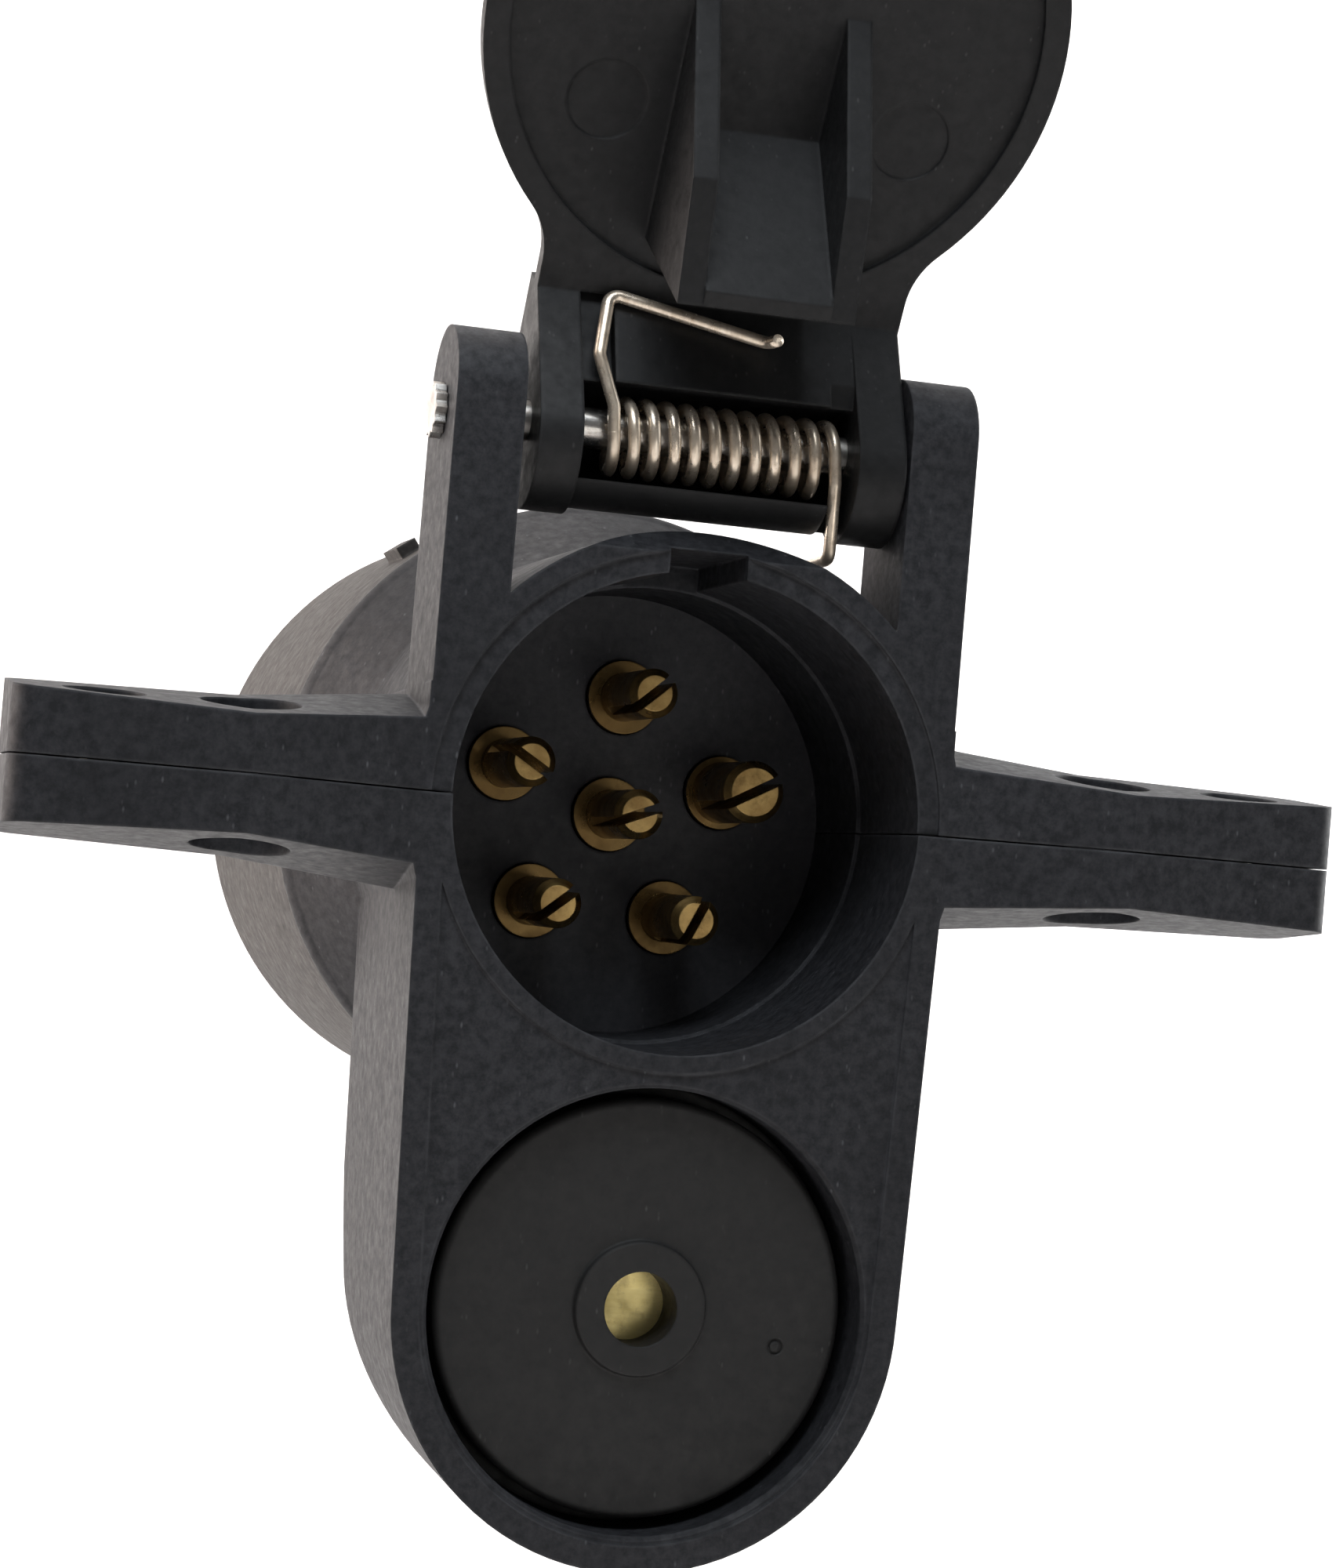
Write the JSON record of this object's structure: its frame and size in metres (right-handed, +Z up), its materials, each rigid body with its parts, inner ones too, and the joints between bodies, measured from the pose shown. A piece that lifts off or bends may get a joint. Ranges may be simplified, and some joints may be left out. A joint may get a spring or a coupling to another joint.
{
  "type": "trailer wiring connector",
  "caption": "Trailer wiring adapter: sprung-lid pin socket in a winged two-piece housing, bladed plug behind it and a reversing sounder below.",
  "frame": {"origin": "centre of the socket's mouth, on its axis, in the plane of the housing's front face", "axes": "+Y back along the socket and plug axis towards the vehicle, +Z up, +X to the right seen from the trailer side"},
  "size_m": [0.1006, 0.0884, 0.1328],
  "materials": {
    "housing_plastic": "moulded glass-filled plastic, fine speckle",
    "lid_plastic": "moulded glass-filled plastic, darker than the housing",
    "plug_plastic": "moulded glass-filled plastic",
    "core_plastic": "matt black",
    "pin_brass": "turned brass, slightly tarnished",
    "blade_brass": "stamped brass",
    "screw_steel": "zinc plated",
    "hinge_steel": "bright drawn wire, cut and knurled end",
    "spring_steel": "drawn spring wire",
    "sounder_plastic": "smooth satin black",
    "diaphragm_brass": "rolled brass sheet",
    "piezo_ceramic": "silvered ceramic",
    "clamp_plastic": "moulded",
    "board": "green solder mask",
    "coil": "sleeved inductor",
    "transistor": "moulded epoxy",
    "lead_red": "insulated wire",
    "lead_black": "insulated wire",
    "wire_center": "insulated wire",
    "wire_top": "insulated wire",
    "wire_upper_left": "insulated wire",
    "wire_lower_left": "insulated wire",
    "wire_lower_right": "insulated wire",
    "wire_ground": "insulated wire"
  },
  "bodies": {
    "housing": {"blade_1": "blade_brass", "blade_2": "blade_brass", "blade_3": "blade_brass", "blade_4": "blade_brass", "blade_5": "blade_brass", "blade_6": "blade_brass", "blade_center": "blade_brass", "diaphragm": "diaphragm_brass", "diaphragm_clamp_ring": "clamp_plastic", "driver_coil": "coil", "driver_transistor": "transistor", "hinge_pin": "hinge_steel", "lower_shell": "housing_plastic", "piezo_disc": "piezo_ceramic", "pin_center": "pin_brass", "pin_ground": "pin_brass", "pin_lower_left": "pin_brass", "pin_lower_right": "pin_brass", "pin_top": "pin_brass", "pin_upper_left": "pin_brass", "plug_core": "core_plastic", "plug_shell": "plug_plastic", "socket_core": "core_plastic", "sounder_board": "board", "sounder_case": "sounder_plastic", "sounder_lead_live": "lead_red", "sounder_lead_return": "lead_black", "torsion_spring": "spring_steel", "upper_shell": "housing_plastic", "wing_screws": "screw_steel", "wire_center": "wire_center", "wire_ground": "wire_ground", "wire_lower_left": "wire_lower_left", "wire_lower_right": "wire_lower_right", "wire_top": "wire_top", "wire_upper_left": "wire_upper_left"},
    "lid": {"lid": "lid_plastic"}
  },
  "joints": [
    {"name": "lid_hinge", "type": "hinge", "parent": "housing", "child": "lid", "pos_m": [0, 0.0049, 0.0282], "axis": [1, 0, 0], "range_deg": [-20, 149], "stiffness_Nm_per_rad": 0.15, "deforming": ["torsion_spring"]}
  ]
}
